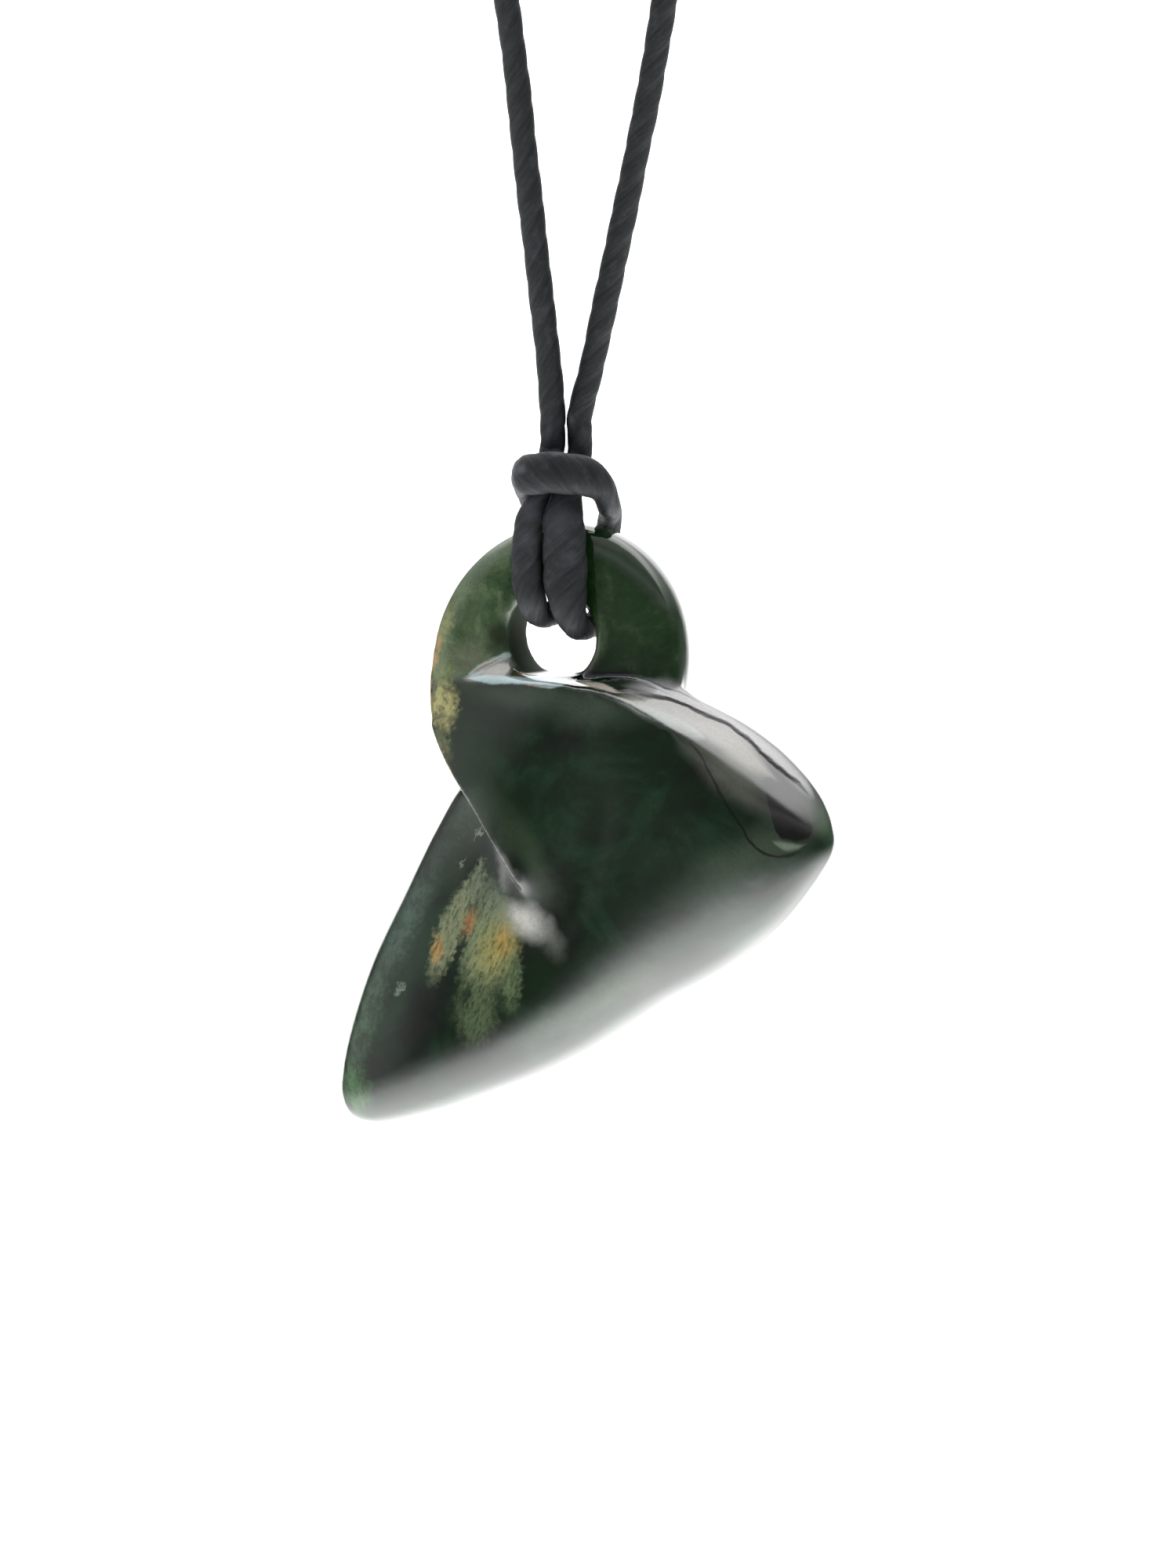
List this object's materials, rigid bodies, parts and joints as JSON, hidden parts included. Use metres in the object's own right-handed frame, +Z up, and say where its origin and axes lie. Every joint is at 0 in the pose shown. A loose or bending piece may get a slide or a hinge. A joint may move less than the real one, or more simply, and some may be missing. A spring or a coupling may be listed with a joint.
{
  "type": "greenstone twist pendant on a neck cord",
  "caption": "Carved twist pendant with a flat ring at its top, hitched on a waxed cord whose whole neck loop hangs from above.",
  "frame": {"origin": "underside of the top of the neck loop, where it rests on a neck or a peg", "axes": "+Z up along the hanging pendant, -Y towards whoever looks at the pendant's front, +X to that viewer's right"},
  "size_m": [0.0738, 0.0174, 0.3268],
  "materials": {
    "greenstone": "high polish",
    "waxed_cord": "waxed twist"
  },
  "bodies": {
    "root": {"stone": "greenstone", "hitch": "waxed_cord", "neck_cord": "waxed_cord", "closing_knot": "waxed_cord"}
  },
  "joints": []
}
